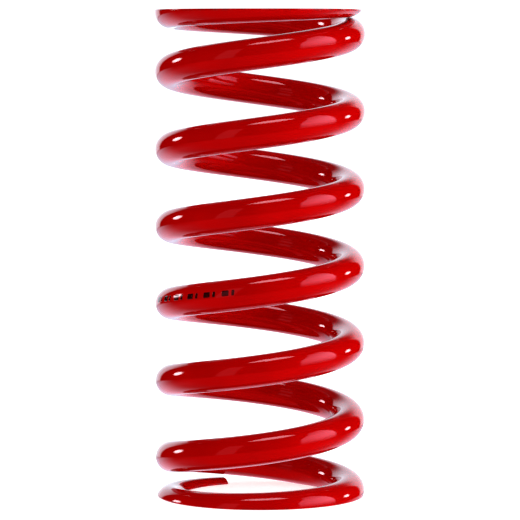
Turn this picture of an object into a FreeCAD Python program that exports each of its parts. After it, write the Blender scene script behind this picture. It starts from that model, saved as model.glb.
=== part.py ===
import FreeCAD, Part
import math
import os

# Coil-over compression spring: one length of round wire, with closed ends ground flat.
# Millimetres, +Z up. The axis is Z, and the origin is on the axis in the lower ground face.
# The wire is wound right-handed, from its lower tip upwards. An angle is in turns from that tip.
#
# The wire is split, at upright planes through the axis, into a rigid coil at each end and quarter
# turns between them. Each quarter sinks on a slide of its own by its share of the spring's travel.

# Driving dimensions of the spring
FREE_LENGTH = 185.0
INNER_DIAMETER = 56.0
WIRE_DIAMETER = 11.8
TURNS = 7.7
LOWER_TIP_AZIMUTH = 114.5  # degrees round +Z from +X

# The closed ends: the rise per turn beside the tip, for how many turns, how many turns the bend to
# the free pitch takes, and how thick the grinding leaves the wire at its tip
LOWER_END_PITCH = 7.5
LOWER_FLAT_TURNS = 0.42
LOWER_BEND_TURNS = 0.67
LOWER_TIP_LEFT = 2.4
UPPER_END_PITCH = 9.1
UPPER_FLAT_TURNS = 0.58
UPPER_BEND_TURNS = 0.56
UPPER_TIP_LEFT = 2.5

# How the wire is split: this many quarter turns, and the rest shared by the two end coils
QUARTERS = 21
QUARTERS_PER_TURN = 4

# Points on the centre line of each swept quarter
POINTS_PER_SWEEP = 8

WIRE_RADIUS = WIRE_DIAMETER / 2
COIL_RADIUS = (INNER_DIAMETER + WIRE_DIAMETER) / 2
END_COIL_TURNS = (TURNS - QUARTERS / QUARTERS_PER_TURN) / 2
TIP_HEIGHT = LOWER_TIP_LEFT - WIRE_RADIUS
END_HEIGHT = FREE_LENGTH - UPPER_TIP_LEFT + WIRE_RADIUS
UPPER_BEND_FROM = TURNS - UPPER_FLAT_TURNS - UPPER_BEND_TURNS


def free_pitch():
    """The rise per turn between the bends that makes the spring FREE_LENGTH long."""
    in_lower_end = LOWER_END_PITCH * (LOWER_FLAT_TURNS + LOWER_BEND_TURNS / 2)
    in_upper_end = UPPER_END_PITCH * (UPPER_FLAT_TURNS + UPPER_BEND_TURNS / 2)
    between = UPPER_BEND_FROM - LOWER_FLAT_TURNS - LOWER_BEND_TURNS
    at_free_pitch = between + (LOWER_BEND_TURNS + UPPER_BEND_TURNS) / 2
    return (END_HEIGHT - TIP_HEIGHT - in_lower_end - in_upper_end) / at_free_pitch


PITCH = free_pitch()
LOWER_BEND_RISE = PITCH - LOWER_END_PITCH
UPPER_BEND_DROP = PITCH - UPPER_END_PITCH


def eased(share):
    """0 up to 0 and 1 from 1 on, with a smooth step between."""
    share = min(max(share, 0.0), 1.0)
    return share**2 * (3 - 2 * share)


def eased_sum(share):
    """The area under eased() from 0 to share."""
    inside = min(max(share, 0.0), 1.0)
    return inside**3 - inside**4 / 2 + max(share - 1.0, 0.0)


def rise_per_turn(turn):
    """The centre line's rise per turn at an angle in turns."""
    lower = eased((turn - LOWER_FLAT_TURNS) / LOWER_BEND_TURNS)
    upper = eased((turn - UPPER_BEND_FROM) / UPPER_BEND_TURNS)
    return LOWER_END_PITCH + LOWER_BEND_RISE * lower - UPPER_BEND_DROP * upper


def height(turn):
    """The centre line's height at an angle in turns."""
    lower = LOWER_BEND_TURNS * eased_sum((turn - LOWER_FLAT_TURNS) / LOWER_BEND_TURNS)
    upper = UPPER_BEND_TURNS * eased_sum((turn - UPPER_BEND_FROM) / UPPER_BEND_TURNS)
    at_end_pitch = TIP_HEIGHT + LOWER_END_PITCH * turn
    return at_end_pitch + LOWER_BEND_RISE * lower - UPPER_BEND_DROP * upper


def outwards(turn):
    """The level direction from the axis to the wire."""
    angle = math.radians(LOWER_TIP_AZIMUTH) + 2 * math.pi * turn
    return FreeCAD.Vector(math.cos(angle), math.sin(angle), 0)


def centre(turn):
    return outwards(turn) * COIL_RADIUS + FreeCAD.Vector(0, 0, height(turn))


def heading(turn):
    """The centre line's travel per radian."""
    out = outwards(turn)
    level = FreeCAD.Vector(-out.y, out.x, 0)
    return level * COIL_RADIUS + FreeCAD.Vector(0, 0, rise_per_turn(turn) / (2 * math.pi))


def wire_outline(turn):
    """The wire cut by the upright plane through the axis: a round section, seen at a slant.

    It starts at its side, which keeps the seam of the swept face clear of the ground faces.
    """
    slope = math.atan2(PITCH, 2 * math.pi * COIL_RADIUS)
    middle = centre(turn)
    top = middle + FreeCAD.Vector(0, 0, WIRE_RADIUS / math.cos(slope))
    side = middle + outwards(turn) * WIRE_RADIUS
    outline = Part.Ellipse(top, side, middle)
    return Part.Wire([outline.toShape(math.pi / 2, math.pi / 2 + 2 * math.pi)])


def centre_line(start, end):
    """A smooth curve along the centre line from one angle to another."""
    turns = [start + (end - start) * step / POINTS_PER_SWEEP for step in range(POINTS_PER_SWEEP + 1)]
    line = Part.BSplineCurve()
    line.interpolate(
        Points=[centre(turn) for turn in turns],
        InitialTangent=heading(start),
        FinalTangent=heading(end),
    )
    return line.toShape()


def spring_wire(start, end):
    """The wire between two upright planes: one solid, swept a quarter turn or less at a time."""
    count = math.ceil((end - start) * QUARTERS_PER_TURN - 1e-9)
    cuts = [start + (end - start) * index / count for index in range(count + 1)]
    path = Part.Wire([centre_line(low, high) for low, high in zip(cuts, cuts[1:])])
    sweep = Part.BRepOffsetAPI.MakePipeShell(path)
    sweep.setBiNormalMode(FreeCAD.Vector(0, 0, 1))
    sweep.add(wire_outline(start), False, False)
    sweep.build()
    sweep.makeSolid()
    return sweep.shape()


def ground_flat(shape):
    """What lies between the two ground faces."""
    width = 2 * (COIL_RADIUS + WIRE_DIAMETER)
    corner = FreeCAD.Vector(-width / 2, -width / 2, 0)
    return shape.common(Part.makeBox(width, width, FREE_LENGTH, corner))


def save(name, shape):
    shape.exportStep(f"parts/{name}.step")


def save_end_coils():
    save("lower_end_coil", ground_flat(spring_wire(0.0, END_COIL_TURNS)))
    save("upper_end_coil", ground_flat(spring_wire(TURNS - END_COIL_TURNS, TURNS)))


def save_quarters():
    """The quarter turns between the end coils, from the bottom up."""
    for index in range(QUARTERS):
        coil, quarter = divmod(index, QUARTERS_PER_TURN)
        start = END_COIL_TURNS + index / QUARTERS_PER_TURN
        save(
            f"coil_{coil + 1}_quarter_{quarter + 1}",
            spring_wire(start, start + 1 / QUARTERS_PER_TURN),
        )


os.makedirs("parts", exist_ok=True)
save_end_coils()
save_quarters()
print(f"free pitch {PITCH:.2f} mm, mean coil radius {COIL_RADIUS:.2f} mm")
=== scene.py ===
import bpy
import math
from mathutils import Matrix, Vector
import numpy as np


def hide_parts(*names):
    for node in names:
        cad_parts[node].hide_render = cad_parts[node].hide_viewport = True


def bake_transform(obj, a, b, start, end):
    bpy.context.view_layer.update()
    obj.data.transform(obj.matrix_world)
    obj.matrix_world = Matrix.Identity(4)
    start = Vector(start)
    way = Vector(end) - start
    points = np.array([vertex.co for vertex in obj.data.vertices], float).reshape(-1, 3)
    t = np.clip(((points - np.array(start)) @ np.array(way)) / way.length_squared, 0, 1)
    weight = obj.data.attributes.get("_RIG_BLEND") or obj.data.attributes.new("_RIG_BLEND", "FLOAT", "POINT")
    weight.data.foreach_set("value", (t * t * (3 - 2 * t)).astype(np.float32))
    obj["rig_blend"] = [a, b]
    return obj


# A coil-over compression spring: one length of gloss red wire with closed ends ground flat.
# Metres, +Z up. The CAD splits the wire into rigid pieces, each sinking by a share of the travel of its
# own; here it is one wire again, and the share rises evenly along it.
# An angle along the wire is in turns from the lower tip, wound right-handed and upwards.

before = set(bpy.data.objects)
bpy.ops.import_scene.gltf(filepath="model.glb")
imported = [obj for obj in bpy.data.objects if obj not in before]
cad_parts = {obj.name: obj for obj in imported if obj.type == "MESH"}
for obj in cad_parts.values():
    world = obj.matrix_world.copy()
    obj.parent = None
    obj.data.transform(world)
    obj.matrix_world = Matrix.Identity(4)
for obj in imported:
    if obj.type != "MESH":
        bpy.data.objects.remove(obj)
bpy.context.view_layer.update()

MM = 0.001

# Driving dimensions, the same as the CAD model's
FREE_LENGTH = 185 * MM
INNER_DIAMETER = 56 * MM
WIRE_DIAMETER = 11.8 * MM
TURNS = 7.7
LOWER_TIP_AZIMUTH = 114.5  # degrees round +Z from +X
LOWER_END_PITCH = 7.5 * MM
LOWER_FLAT_TURNS = 0.42
LOWER_BEND_TURNS = 0.67
LOWER_TIP_LEFT = 2.4 * MM
UPPER_END_PITCH = 9.1 * MM
UPPER_FLAT_TURNS = 0.58
UPPER_BEND_TURNS = 0.56
UPPER_TIP_LEFT = 2.5 * MM

# How the wire sinks: the CAD has this many quarter turns that move, between two rigid end coils. The
# wire has the travel of each one at its middle, so it sinks from half a quarter before the first to
# half a quarter after the last.
QUARTERS = 21
QUARTERS_PER_TURN = 4
END_COIL_TURNS = (TURNS - QUARTERS / QUARTERS_PER_TURN) / 2
SINKS_FROM = END_COIL_TURNS - 1 / QUARTERS_PER_TURN / 2
SINKS_OVER = (QUARTERS + 1) / QUARTERS_PER_TURN

WIRE_RADIUS = WIRE_DIAMETER / 2
COIL_RADIUS = (INNER_DIAMETER + WIRE_DIAMETER) / 2
TIP_HEIGHT = LOWER_TIP_LEFT - WIRE_RADIUS
END_HEIGHT = FREE_LENGTH - UPPER_TIP_LEFT + WIRE_RADIUS
UPPER_BEND_FROM = TURNS - UPPER_FLAT_TURNS - UPPER_BEND_TURNS

# The edges that the coating rounds: round the ground faces, and round the cut ends of the wire
GROUND_EDGE_RADIUS = 0.45 * MM
TIP_EDGE_RADIUS = 0.35 * MM

# The wire's mesh: steps round its section, and steps along it in one turn
FLAT_STEPS = 12
EDGE_STEPS = 4
ROUND_STEPS = 44
TOP_STEPS = FLAT_STEPS + 2 * EDGE_STEPS
SECTION_STEPS = TOP_STEPS + ROUND_STEPS
RINGS_PER_TURN = 170
TIP_RINGS = 4

# Where the wire nears its ground face, the flat's steps draw together on top of it: the half angle they
# keep there, and over what rise of the cut, over WIRE_RADIUS, they spread out to the regular spacing
NARROW_OPENING = 0.04
OPENS_OVER = 1.5

# The ink marking: plain bars that say nothing, on the outer side of one coil
INK_HEIGHT = 2.1 * MM
INK_ABOVE_MIDDLE = 1.2 * MM
INK_STANDS_PROUD = 0.02 * MM
INK_REACHES_IN = 0.05 * MM
INK_FIRST_TURN = 3.222
INK_BARS = 12
INK_BAR_PITCH = 3.8 * MM
INK_BAR_LENGTHS = (2.7 * MM, 1.1 * MM)
INK_CORNER = 0.35 * MM
INK_COLUMN = 0.6 * MM
INK_ROWS = 6
OUTER_TURN = 2 * math.pi * (COIL_RADIUS + WIRE_RADIUS)  # one turn, along the wire's outer side

# The colours of the coat where it is ordinary, thicker, thinner and rubbed, and of the ink
COAT_RED = (0.5, 0.0004, 0.0006, 1)
COAT_THICKER = (0.45, 0.0003, 0.0005, 1)
COAT_THINNER = (0.3, 0.0006, 0.0008, 1)
COAT_RUBBED = (0.16, 0.004, 0.004, 1)
INK_DARK = (0.03, 0.0008, 0.0008, 1)
INK_WORN = (0.055, 0.0008, 0.0008, 1)

# The surface's relief: how fine its noises are, how deep, and where the grinding wheel's axis was
PEEL_GRAIN = 420.0
COAT_PEEL_DEPTH = 0.0055 * MM
INK_PEEL_DEPTH = 0.008 * MM
FINE_GRAIN = 1500.0
FINE_DEPTH = 0.0008 * MM
GRINDING_GRAIN = 1300.0
GRINDING_DEPTH = 0.012 * MM
WHEEL_AXIS = (0.16, -0.07, FREE_LENGTH / 2)


def free_pitch():
    """The rise per turn between the bends that makes the spring FREE_LENGTH long."""
    in_lower_end = LOWER_END_PITCH * (LOWER_FLAT_TURNS + LOWER_BEND_TURNS / 2)
    in_upper_end = UPPER_END_PITCH * (UPPER_FLAT_TURNS + UPPER_BEND_TURNS / 2)
    between = UPPER_BEND_FROM - LOWER_FLAT_TURNS - LOWER_BEND_TURNS
    at_free_pitch = between + (LOWER_BEND_TURNS + UPPER_BEND_TURNS) / 2
    return (END_HEIGHT - TIP_HEIGHT - in_lower_end - in_upper_end) / at_free_pitch


PITCH = free_pitch()
SLANT = 1 / math.cos(math.atan2(PITCH, 2 * math.pi * COIL_RADIUS))


def eased(share):
    """0 up to 0 and 1 from 1 on, with a smooth step between."""
    share = min(max(share, 0.0), 1.0)
    return share**2 * (3 - 2 * share)


def eased_sum(share):
    """The area under eased() from 0 to share."""
    inside = min(max(share, 0.0), 1.0)
    return inside**3 - inside**4 / 2 + max(share - 1.0, 0.0)


def height(turn):
    """The centre line's height at an angle in turns."""
    lower = LOWER_BEND_TURNS * eased_sum((turn - LOWER_FLAT_TURNS) / LOWER_BEND_TURNS)
    upper = UPPER_BEND_TURNS * eased_sum((turn - UPPER_BEND_FROM) / UPPER_BEND_TURNS)
    at_end_pitch = TIP_HEIGHT + LOWER_END_PITCH * turn
    return at_end_pitch + (PITCH - LOWER_END_PITCH) * lower - (PITCH - UPPER_END_PITCH) * upper


def place(turn, out, up):
    """The point that is out from the centre line and up from it, in the upright plane at a turn."""
    angle = math.radians(LOWER_TIP_AZIMUTH) + 2 * math.pi * turn
    radius = COIL_RADIUS + out
    return (radius * math.cos(angle), radius * math.sin(angle), height(turn) + up)


def share_of_travel(turn):
    """How much of the upper end's travel the wire makes at an angle in turns."""
    return min(max((turn - SINKS_FROM) / SINKS_OVER, 0.0), 1.0)


# ---------------------------------------------------------------------------------- the wire


def round_or_cut(cut, opening):
    """The wire's outline with its top cut off: points and outward directions, both (out, up).

    cut is the ground plane's distance above the centre line, over WIRE_RADIUS; where it is 1 or more
    the outline is the whole circle. opening is the half angle that the flat's steps take up there.
    The flat's points come first.
    """
    edge = GROUND_EDGE_RADIUS / WIRE_RADIUS
    points = []
    normals = []
    if cut < 1:
        edge_up = cut - edge
        edge_out = math.sqrt((1 - edge) ** 2 - edge_up**2)
        meets_round = math.atan2(edge_up, edge_out)
        for step in range(FLAT_STEPS):
            points.append((edge_out * (2 * step / FLAT_STEPS - 1), cut))
            normals.append((0.0, 1.0))
        for step in range(EDGE_STEPS):
            angle = math.pi / 2 + (meets_round - math.pi / 2) * step / EDGE_STEPS
            points.append((edge_out + edge * math.cos(angle), edge_up + edge * math.sin(angle)))
            normals.append((math.cos(angle), math.sin(angle)))
    else:
        meets_round = math.pi / 2 - opening
        for step in range(FLAT_STEPS + EDGE_STEPS):
            turned = (step + EDGE_STEPS) / TOP_STEPS
            angle = math.pi / 2 + opening * (1 - 2 * turned)
            points.append((math.cos(angle), math.sin(angle)))
            normals.append((math.cos(angle), math.sin(angle)))
    round_end = -math.pi - meets_round
    for step in range(ROUND_STEPS):
        angle = meets_round + (round_end - meets_round) * step / ROUND_STEPS
        points.append((math.cos(angle), math.sin(angle)))
        normals.append((math.cos(angle), math.sin(angle)))
    for step in range(EDGE_STEPS):
        if cut < 1:
            angle = math.pi - meets_round + (meets_round - math.pi / 2) * step / EDGE_STEPS
            points.append((-edge_out + edge * math.cos(angle), edge_up + edge * math.sin(angle)))
        else:
            angle = math.pi / 2 + opening * (1 - 2 * step / TOP_STEPS)
            points.append((math.cos(angle), math.sin(angle)))
        normals.append((math.cos(angle), math.sin(angle)))
    return points, normals


def in_upper_half(turn):
    return turn > TURNS / 2


def cut_height(turn):
    """How far the nearer end's ground plane is from the centre line, over the wire's half height."""
    plane = FREE_LENGTH - height(turn) if in_upper_half(turn) else height(turn)
    return plane / (WIRE_RADIUS * SLANT)


def half_way_round(outline):
    """The same list, started from its middle, for the lower end, where the section is upside down."""
    half = len(outline) // 2
    return outline[half:] + outline[:half]


def section(turn, inset=0.0):
    """The wire's outline in the upright plane at a turn, (out, up) from the centre line."""
    cut = cut_height(turn)
    regular = math.pi * TOP_STEPS / SECTION_STEPS
    opening = NARROW_OPENING + (regular - NARROW_OPENING) * eased((cut - 1) / OPENS_OVER)
    outline = []
    for (out, up), (normal_out, normal_up) in zip(*round_or_cut(cut, opening)):
        across = out * WIRE_RADIUS - inset * normal_out
        upright = (up * WIRE_RADIUS - inset * normal_up) * SLANT
        outline.append((across, upright))
    if in_upper_half(turn):
        return outline
    return half_way_round([(-out, -up) for out, up in outline])


def ring_turns():
    """The angles of the wire's rings between its two rounded tips."""
    tip = TIP_EDGE_RADIUS / (2 * math.pi * COIL_RADIUS)
    count = round(TURNS * RINGS_PER_TURN)
    return [tip + (TURNS - 2 * tip) * index / count for index in range(count + 1)]


def ground_marks(turn):
    """For each point of the outline at a turn: is it on a ground face, and is it on that face's edge?"""
    flat = [0.0] * SECTION_STEPS
    edge = [0.0] * SECTION_STEPS
    if cut_height(turn) >= 1:
        return flat, edge
    for step in range(FLAT_STEPS + 1):
        flat[step] = 1.0
    for step in range(EDGE_STEPS + 1):
        edge[FLAT_STEPS + step] = 1.0
        edge[-step] = 1.0
    if in_upper_half(turn):
        return flat, edge
    return half_way_round(flat), half_way_round(edge)


def rings_along_wire():
    """Each ring's angle in turns, and how far it is drawn in from the wire's surface."""
    tip = TIP_EDGE_RADIUS / (2 * math.pi * COIL_RADIUS)
    rounding = [math.pi / 2 * step / TIP_RINGS for step in range(1, TIP_RINGS + 1)]
    tip_rings = [(tip * math.sin(angle), TIP_EDGE_RADIUS * (1 - math.cos(angle))) for angle in rounding]
    # One more ring, on the cut face itself
    tip_rings.append((tip, 2 * TIP_EDGE_RADIUS))
    rings = [(tip - along, inset) for along, inset in reversed(tip_rings)]
    rings += [(turn, 0.0) for turn in ring_turns()]
    rings += [(TURNS - tip + along, inset) for along, inset in tip_rings]
    return rings


def wire_mesh():
    """The whole wire as one closed mesh, the angle in turns of each of its points, and their marks."""
    rings = rings_along_wire()
    points = []
    turns = []
    flats = []
    edges = []
    for turn, inset in rings:
        flat, edge = ground_marks(turn)
        flats += flat
        edges += edge
        for out, up in section(turn, inset):
            points.append(place(turn, out, up))
            turns.append(turn)
    faces = []
    for ring in range(len(rings) - 1):
        for step in range(SECTION_STEPS):
            first = ring * SECTION_STEPS + step
            second = ring * SECTION_STEPS + (step + 1) % SECTION_STEPS
            faces.append((first, second, second + SECTION_STEPS, first + SECTION_STEPS))
    last = (len(rings) - 1) * SECTION_STEPS
    faces.append(tuple(range(SECTION_STEPS - 1, -1, -1)))
    faces.append(tuple(range(last, last + SECTION_STEPS)))
    return points, faces, turns, {"ground_face": flats, "ground_edge": edges}


def new_piece(name, points, faces, material):
    """A smooth-shaded object of one material."""
    mesh = bpy.data.meshes.new(name)
    mesh.from_pydata(points, [], faces)
    mesh.validate()
    for face in mesh.polygons:
        face.use_smooth = len(face.vertices) == 4
    mesh.materials.append(material)
    # The materials read this, so that their grain stays on the wire when the spring is pressed
    unpressed = mesh.attributes.new("unpressed", "FLOAT_VECTOR", "POINT")
    unpressed.data.foreach_set("vector", [number for point in points for number in point])
    piece = bpy.data.objects.new(name, mesh)
    bpy.context.scene.collection.objects.link(piece)
    return piece


def sink_with_the_spring(piece, turns):
    """Makes each point travel by its share, so that the coils close evenly.
    """
    lowest = (0, 0, height(SINKS_FROM))
    highest = (0, 0, height(SINKS_FROM + SINKS_OVER))
    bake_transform(piece, "lower_end_coil", "upper_end_coil", start=lowest, end=highest)
    shares = piece.data.attributes["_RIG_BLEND"]
    shares.data.foreach_set("value", [share_of_travel(turn) for turn in turns])


def build_wire(material):
    points, faces, turns, marks = wire_mesh()
    wire = new_piece("spring_wire", points, faces, material)
    for name, values in marks.items():
        mark = wire.data.attributes.new(name, "FLOAT", "POINT")
        mark.data.foreach_set("value", values)
    sink_with_the_spring(wire, turns)
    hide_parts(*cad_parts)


# ----------------------------------------------------------------------------- the ink marking


def bar_columns(length):
    """Distances along a bar, closer together in its rounded corners, and its half height at each."""
    in_corner = [INK_CORNER * (1 - math.cos(math.pi / 2 * step / 4)) for step in range(5)]
    middle_steps = max(2, round(length / INK_COLUMN))
    straight = length - 2 * INK_CORNER
    between = [INK_CORNER + straight * step / middle_steps for step in range(1, middle_steps)]
    distances = in_corner + between + [length - distance for distance in reversed(in_corner)]
    columns = []
    for distance in distances:
        past_corner = INK_CORNER - min(distance, length - distance, INK_CORNER)
        rounded = math.sqrt(max(INK_CORNER**2 - past_corner**2, 0.0))
        half = INK_HEIGHT / 2 - INK_CORNER + rounded
        columns.append((distance, half))
    return columns


def ink_bar(start_turn, length, points, faces, turns):
    """Adds one bar, a closed shell that hugs the outer side of the wire."""
    columns = bar_columns(length)
    base = len(points)
    for radius in (WIRE_RADIUS + INK_STANDS_PROUD, WIRE_RADIUS - INK_REACHES_IN):
        for distance, half in columns:
            turn = start_turn + distance / OUTER_TURN
            for row in range(INK_ROWS + 1):
                along_section = INK_ABOVE_MIDDLE + half * (2 * row / INK_ROWS - 1)
                angle = along_section / WIRE_RADIUS
                points.append(place(turn, radius * math.cos(angle), radius * math.sin(angle) * SLANT))
                turns.append(turn)
    high = INK_ROWS + 1
    last_column = len(columns) - 1
    sheet = len(columns) * high
    for column in range(last_column):
        for row in range(INK_ROWS):
            near = base + column * high + row
            far = near + high
            faces.append((near, far, far + 1, near + 1))
            faces.append((near + sheet + 1, far + sheet + 1, far + sheet, near + sheet))
    border = [base + column * high for column in range(last_column + 1)]
    border += [base + last_column * high + row for row in range(1, high)]
    border += [base + column * high + INK_ROWS for column in range(last_column - 1, -1, -1)]
    border += [base + row for row in range(INK_ROWS - 1, 0, -1)]
    for first, second in zip(border, border[1:] + border[:1]):
        faces.append((second, first, first + sheet, second + sheet))


def build_ink(material):
    points = []
    faces = []
    turns = []
    for bar in range(INK_BARS):
        start = INK_FIRST_TURN + bar * INK_BAR_PITCH / OUTER_TURN
        ink_bar(start, INK_BAR_LENGTHS[bar % 2], points, faces, turns)
    ink = new_piece("ink_bars", points, faces, material)
    sink_with_the_spring(ink, turns)


# ---------------------------------------------------------------------------------- materials


class Nodes:
    """A short way to add and link the nodes of one tree."""

    def __init__(self, tree):
        self.tree = tree

    def add(self, kind, **settings):
        node = self.tree.nodes.new(kind)
        for name, value in settings.items():
            setattr(node, name, value)
        return node

    def put(self, value, socket):
        """Links an output, or sets a plain value, on an input."""
        if isinstance(value, bpy.types.NodeSocket):
            self.tree.links.new(value, socket)
        else:
            socket.default_value = value

    def math(self, operation, first, second=0.0):
        node = self.add("ShaderNodeMath", operation=operation)
        self.put(first, node.inputs[0])
        self.put(second, node.inputs[1])
        return node.outputs[0]

    def rise(self, value, start, end, low=0.0, high=1.0):
        """A smooth step from low at start to high at end."""
        node = self.add("ShaderNodeMapRange", interpolation_type="SMOOTHSTEP")
        self.put(value, node.inputs["Value"])
        node.inputs["From Min"].default_value = start
        node.inputs["From Max"].default_value = end
        node.inputs["To Min"].default_value = low
        node.inputs["To Max"].default_value = high
        return node.outputs["Result"]

    def noise(self, place, scale, detail=2.0):
        node = self.add("ShaderNodeTexNoise")
        self.put(place, node.inputs["Vector"])
        node.inputs["Scale"].default_value = scale
        node.inputs["Detail"].default_value = detail
        return node.outputs["Fac"]

    def blend(self, share, first, second):
        """A colour between two colours."""
        node = self.add("ShaderNodeMix", data_type="RGBA")
        self.put(share, node.inputs[0])
        self.put(first, node.inputs[6])
        self.put(second, node.inputs[7])
        return node.outputs[2]

    def bump(self, height, depth, normal=None):
        node = self.add("ShaderNodeBump")
        self.put(height, node.inputs["Height"])
        node.inputs["Strength"].default_value = 1.0
        node.inputs["Distance"].default_value = depth
        if normal:
            self.put(normal, node.inputs["Normal"])
        return node.outputs["Normal"]


def new_material(name):
    """A material with one Principled shader, its nodes, and where a point is on the object."""
    material = bpy.data.materials.new(name)
    material.use_nodes = True
    nodes = Nodes(material.node_tree)
    shader = material.node_tree.nodes["Principled BSDF"]
    where = nodes.add("ShaderNodeAttribute", attribute_name="unpressed").outputs["Vector"]
    return material, nodes, shader, where


def grinding_arcs(nodes, where):
    """Fine streaks in arcs round the grinding wheel's axis, well to one side of the spring's."""
    from_wheel = nodes.add("ShaderNodeVectorMath", operation="DISTANCE")
    nodes.put(where, from_wheel.inputs[0])
    from_wheel.inputs[1].default_value = WHEEL_AXIS
    arcs = nodes.add("ShaderNodeTexNoise", noise_dimensions="1D")
    nodes.put(from_wheel.outputs["Value"], arcs.inputs["W"])
    arcs.inputs["Scale"].default_value = GRINDING_GRAIN
    arcs.inputs["Detail"].default_value = 3.0
    return arcs.outputs["Fac"]


def powder_coat():
    """Gloss red powder coat: orange peel, a colour that varies with its thickness, and on the ground
    faces the marks of the grinding wheel and a thin, rubbed edge.
    """
    material, nodes, shader, where = new_material("powder_coat")
    flat = nodes.add("ShaderNodeAttribute", attribute_name="ground_face").outputs["Fac"]
    edge = nodes.add("ShaderNodeAttribute", attribute_name="ground_edge").outputs["Fac"]
    arcs = grinding_arcs(nodes, where)

    cloud = nodes.rise(nodes.noise(where, 55.0, 3.0), 0.35, 0.7)
    colour = nodes.blend(cloud, COAT_RED, COAT_THICKER)
    streaks = nodes.rise(arcs, 0.35, 0.65, 0.0, 0.45)
    colour = nodes.blend(nodes.math("MULTIPLY", flat, streaks), colour, COAT_THINNER)
    rubs = nodes.rise(nodes.noise(where, 260.0, 4.0), 0.48, 0.66, 0.0, 0.6)
    rubbed = nodes.math("MULTIPLY", edge, rubs)
    nodes.put(nodes.blend(rubbed, colour, COAT_RUBBED), shader.inputs["Base Color"])

    haze = nodes.rise(nodes.noise(where, 140.0, 2.0), 0.3, 0.75, 0.04, 0.07)
    rubbed_haze = nodes.math("MULTIPLY", rubbed, 0.3)
    flat_haze = nodes.math("MULTIPLY", flat, 0.07)
    roughness = nodes.math("ADD", nodes.math("ADD", haze, rubbed_haze), flat_haze)
    nodes.put(roughness, shader.inputs["Roughness"])
    shader.inputs["IOR"].default_value = 1.5

    normal = nodes.bump(nodes.math("MULTIPLY", arcs, flat), GRINDING_DEPTH)
    normal = nodes.bump(nodes.noise(where, PEEL_GRAIN, 1.0), COAT_PEEL_DEPTH, normal)
    normal = nodes.bump(nodes.noise(where, FINE_GRAIN, 2.0), FINE_DEPTH, normal)
    nodes.put(normal, shader.inputs["Normal"])
    return material


def ink():
    """Dark printing ink, thinner and redder in places."""
    material, nodes, shader, where = new_material("ink")
    worn = nodes.rise(nodes.noise(where, 900.0, 3.0), 0.42, 0.7)
    nodes.put(nodes.blend(worn, INK_DARK, INK_WORN), shader.inputs["Base Color"])
    haze = nodes.rise(nodes.noise(where, 1200.0, 2.0), 0.3, 0.7, 0.1, 0.22)
    nodes.put(haze, shader.inputs["Roughness"])
    peel = nodes.bump(nodes.noise(where, PEEL_GRAIN, 1.0), INK_PEEL_DEPTH)
    nodes.put(peel, shader.inputs["Normal"])
    return material


# ------------------------------------------------------------------------------------- studio


def towards(azimuth, elevation):
    """A unit direction, from degrees. Azimuth 0 is the front, and the right is positive."""
    sideways = math.radians(azimuth)
    up = math.radians(elevation)
    level = math.cos(up)
    return Vector((math.sin(sideways) * level, -math.cos(sideways) * level, math.sin(up)))


class Sky:
    """Adds up light from all round, as a colour for each direction."""

    def __init__(self, nodes):
        self.nodes = nodes
        self.direction = nodes.add("ShaderNodeTexCoord").outputs["Generated"]
        axes = nodes.add("ShaderNodeSeparateXYZ")
        nodes.put(self.direction, axes.inputs[0])
        x, y, z = axes.outputs
        behind = nodes.math("MULTIPLY", y, -1.0)
        self.azimuth = nodes.math("DEGREES", nodes.math("ARCTAN2", x, behind))
        self.elevation = nodes.math("DEGREES", nodes.math("ARCSINE", z))
        self.aside = nodes.math("ABSOLUTE", self.azimuth)
        self.total = None

    def shine(self, share, colour):
        """Adds a light: how much of its colour each direction gets."""
        scaled = self.nodes.add("ShaderNodeVectorMath", operation="SCALE")
        scaled.inputs[0].default_value = colour
        self.nodes.put(share, scaled.inputs["Scale"])
        if self.total is None:
            self.total = scaled.outputs[0]
            return
        both = self.nodes.add("ShaderNodeVectorMath", operation="ADD")
        self.nodes.put(self.total, both.inputs[0])
        self.nodes.put(scaled.outputs[0], both.inputs[1])
        self.total = both.outputs[0]

    def patch(self, azimuth, sideways, upright, soft):
        """1 inside limits in degrees, 0 outside them, and between over the soft edge."""
        nodes = self.nodes
        left = nodes.rise(azimuth, sideways[0] - soft, sideways[0] + soft)
        right = nodes.rise(azimuth, sideways[1] - soft, sideways[1] + soft, 1.0, 0.0)
        below = nodes.rise(self.elevation, upright[0] - soft, upright[0] + soft)
        above = nodes.rise(self.elevation, upright[1] - soft, upright[1] + soft, 1.0, 0.0)
        across = nodes.math("MULTIPLY", left, right)
        upwards = nodes.math("MULTIPLY", below, above)
        return nodes.math("MULTIPLY", across, upwards)

    def facing(self, azimuth, elevation):
        """The cosine of how far each direction is from one given in degrees."""
        cosine = self.nodes.add("ShaderNodeVectorMath", operation="DOT_PRODUCT")
        self.nodes.put(self.direction, cosine.inputs[0])
        cosine.inputs[1].default_value = towards(azimuth, elevation)
        return cosine.outputs["Value"]

    def lamp(self, azimuth, elevation, radius):
        """A round light with a soft edge, its radius in degrees."""
        rim = math.cos(math.radians(radius * 1.4))
        core = math.cos(math.radians(radius * 0.6))
        return self.nodes.rise(self.facing(azimuth, elevation), rim, core)

    def lobe(self, azimuth, elevation, focus):
        """Broad light from one side, narrower with more focus."""
        front = self.nodes.math("MAXIMUM", self.facing(azimuth, elevation), 0.0)
        return self.nodes.math("POWER", front, focus)


# What the gloss reflects, as colours of light
BACKDROP_LIGHT = (1.15, 1.25, 1.4)
BACK_FLOOR_LIGHT = (0.72, 0.88, 1.1)
SIDE_FLOOR_LIGHT = (1.1, 0.24, 0.3)
FRONT_FLOOR_LIGHT = (1.8, 0.03, 0.04)
SOFTBOX_LIGHT = (5.2, 2.1, 2.9)
PANEL_LIGHT = (1.0, 0.2, 0.24)
OVERHEAD_LIGHT = (6.5, 4.2, 4.8)
LAMP_LIGHT = (14.0, 11.0, 12.0)


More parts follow.
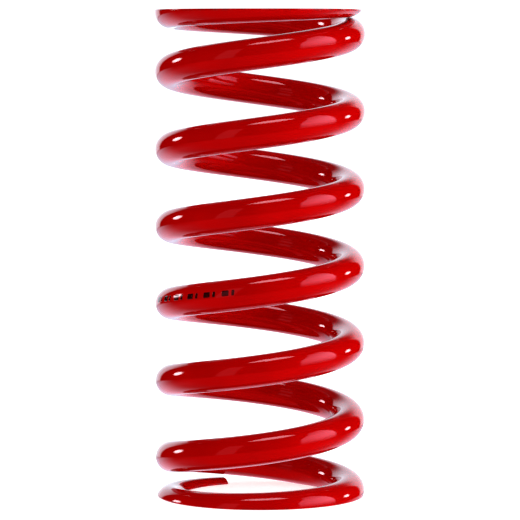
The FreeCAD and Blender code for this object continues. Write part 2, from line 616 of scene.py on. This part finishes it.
def glossy_light(nodes):
    """What the gloss reflects: a white backdrop, a pale floor, a large softbox and small lamps."""
    sky = Sky(nodes)

    # The white backdrop behind the object
    beyond = nodes.rise(sky.aside, 141.0, 147.0)
    upright = nodes.rise(sky.elevation, 20.0, 36.0, 1.0, 0.03)
    above_floor = nodes.rise(sky.elevation, -10.0, -6.0)
    backdrop = nodes.math("MULTIPLY", nodes.math("MULTIPLY", beyond, upright), above_floor)
    sky.shine(backdrop, BACKDROP_LIGHT)

    # The floor: bright below the backdrop, dimmer at the sides, and red in front, as if the spring lit it.
    # It ends a few degrees below level.
    on_floor = nodes.rise(sky.elevation, -11.0, -7.0, 1.0, 0.0)
    steepness = nodes.rise(sky.elevation, -80.0, -20.0, 0.3, 1.0)
    floor = nodes.math("MULTIPLY", on_floor, steepness)
    at_back = nodes.math("MULTIPLY", floor, nodes.rise(sky.aside, 105.0, 146.0))
    sky.shine(at_back, BACK_FLOOR_LIGHT)
    inside_edge = nodes.rise(sky.elevation, -34.0, -10.0, 1.0, 0.15)
    at_side = nodes.math("MULTIPLY", floor, nodes.rise(sky.aside, 60.0, 120.0))
    sky.shine(nodes.math("MULTIPLY", at_side, inside_edge), SIDE_FLOOR_LIGHT)
    in_front = nodes.math("MULTIPLY", on_floor, nodes.rise(sky.aside, 60.0, 120.0, 1.0, 0.0))
    sky.shine(in_front, FRONT_FLOOR_LIGHT)

    # The large softbox on the right, brighter towards its outer side, with a slanted upper edge
    slanted = nodes.math("MULTIPLY", nodes.rise(sky.elevation, 24.0, 64.0), 24.0)
    from_edge = nodes.math("SUBTRACT", sky.azimuth, slanted)
    softbox = sky.patch(from_edge, (44.0, 200.0), (-6.0, 57.0), 2.0)
    inside = nodes.rise(sky.azimuth, 89.0, 92.0, 1.0, 0.0)
    strength = nodes.rise(sky.azimuth, 35.0, 90.0, 0.45, 1.0)
    low = nodes.rise(sky.elevation, -8.0, 22.0, 0.08, 1.0)
    high = nodes.rise(sky.elevation, 30.0, 60.0, 1.0, 0.35)
    softbox = nodes.math("MULTIPLY", nodes.math("MULTIPLY", softbox, inside), strength)
    softbox = nodes.math("MULTIPLY", nodes.math("MULTIPLY", softbox, low), high)
    sky.shine(softbox, SOFTBOX_LIGHT)

    # A dim panel on the left, a strip overhead and two small lamps
    sky.shine(sky.patch(sky.azimuth, (-50.0, -28.0), (-8.0, 45.0), 1.5), PANEL_LIGHT)
    sky.shine(sky.patch(sky.azimuth, (-50.0, 58.0), (69.0, 87.0), 2.0), OVERHEAD_LIGHT)
    sky.shine(sky.lamp(111.5, 11.0, 4.4), LAMP_LIGHT)
    sky.shine(sky.lamp(-111.0, 16.0, 6.0), LAMP_LIGHT)
    return sky.total


# Broad light on matt surfaces: name, azimuth, elevation, focus and brightness
BROAD_LIGHTS = (
    ("right", 80.0, 5.0, 40.0, 12.5),
    ("upper_right", 68.0, 36.0, 16.0, 0.9),
    ("left", -80.0, -5.0, 12.0, 0.9),
    ("all_round", 0.0, 0.0, 0.0, 0.64),
)


def matt_light(nodes):
    """The light that falls on matt surfaces."""
    sky = Sky(nodes)
    for name, azimuth, elevation, focus, bright in BROAD_LIGHTS:
        share = sky.lobe(azimuth, elevation, focus) if focus else 1.0
        sky.shine(share, (bright, bright, bright))
    return sky.total


def background(nodes, colour):
    """A world shader of one colour for each direction."""
    shader = nodes.add("ShaderNodeBackground")
    nodes.put(colour, shader.inputs["Color"])
    shader.inputs["Strength"].default_value = 1.0
    return shader.outputs[0]


def build_world():
    """Soft studio light all round, in front of a plain white background."""
    world = bpy.data.worlds.new("studio")
    world.use_nodes = True
    world.node_tree.nodes.clear()
    # Light is found by the rays themselves, which lets gloss and matt surfaces have their own
    world.cycles.sampling_method = "NONE"
    nodes = Nodes(world.node_tree)
    path = nodes.add("ShaderNodeLightPath").outputs
    shader = background(nodes, glossy_light(nodes))
    white = (1.05, 1.05, 1.05, 1)
    for rays, colour in (("Is Diffuse Ray", matt_light(nodes)), ("Is Camera Ray", white)):
        either = nodes.add("ShaderNodeMixShader")
        nodes.put(path[rays], either.inputs[0])
        nodes.put(shader, either.inputs[1])
        nodes.put(background(nodes, colour), either.inputs[2])
        shader = either.outputs[0]
    nodes.put(shader, nodes.add("ShaderNodeOutputWorld").inputs["Surface"])
    bpy.context.scene.world = world


def build_floor():
    """A plain white floor, which the gloss and the matt surfaces don't see: their own floor is light."""
    half = 3.0
    level = -0.05 * MM
    mesh = bpy.data.meshes.new("floor")
    corners = [(x * half, y * half, level) for x, y in ((-1, -1), (1, -1), (1, 1), (-1, 1))]
    mesh.from_pydata(corners, [], [(0, 1, 2, 3)])
    material = bpy.data.materials.new("floor")
    material.use_nodes = True
    shader = material.node_tree.nodes["Principled BSDF"]
    shader.inputs["Base Color"].default_value = (0.9, 0.9, 0.9, 1)
    shader.inputs["Roughness"].default_value = 0.9
    shader.inputs["Specular IOR Level"].default_value = 0.0
    shader.inputs["Emission Color"].default_value = (1, 1, 1, 1)
    shader.inputs["Emission Strength"].default_value = 0.6
    mesh.materials.append(material)
    floor = bpy.data.objects.new("floor", mesh)
    floor.visible_glossy = False
    floor.visible_diffuse = False
    bpy.context.scene.collection.objects.link(floor)


def build_camera():
    """A long lens a little over a metre away, looking slightly down."""
    away = 1.1834
    eye_height = 0.17505
    pitched_down = 0.0718
    camera_data = bpy.data.cameras.new("camera")
    camera_data.sensor_width = 36.0
    camera_data.lens = 216.0
    camera_data.clip_start = 0.01
    camera = bpy.data.objects.new("camera", camera_data)
    camera.location = (0, -away, eye_height)
    camera.rotation_euler = (math.pi / 2 - pitched_down, 0, 0)
    bpy.context.scene.collection.objects.link(camera)
    bpy.context.scene.camera = camera


build_wire(powder_coat())
build_ink(ink())
build_world()
build_floor()
build_camera()
bpy.context.scene.view_settings.view_transform = "Standard"
bpy.context.scene.view_settings.look = "Medium High Contrast"
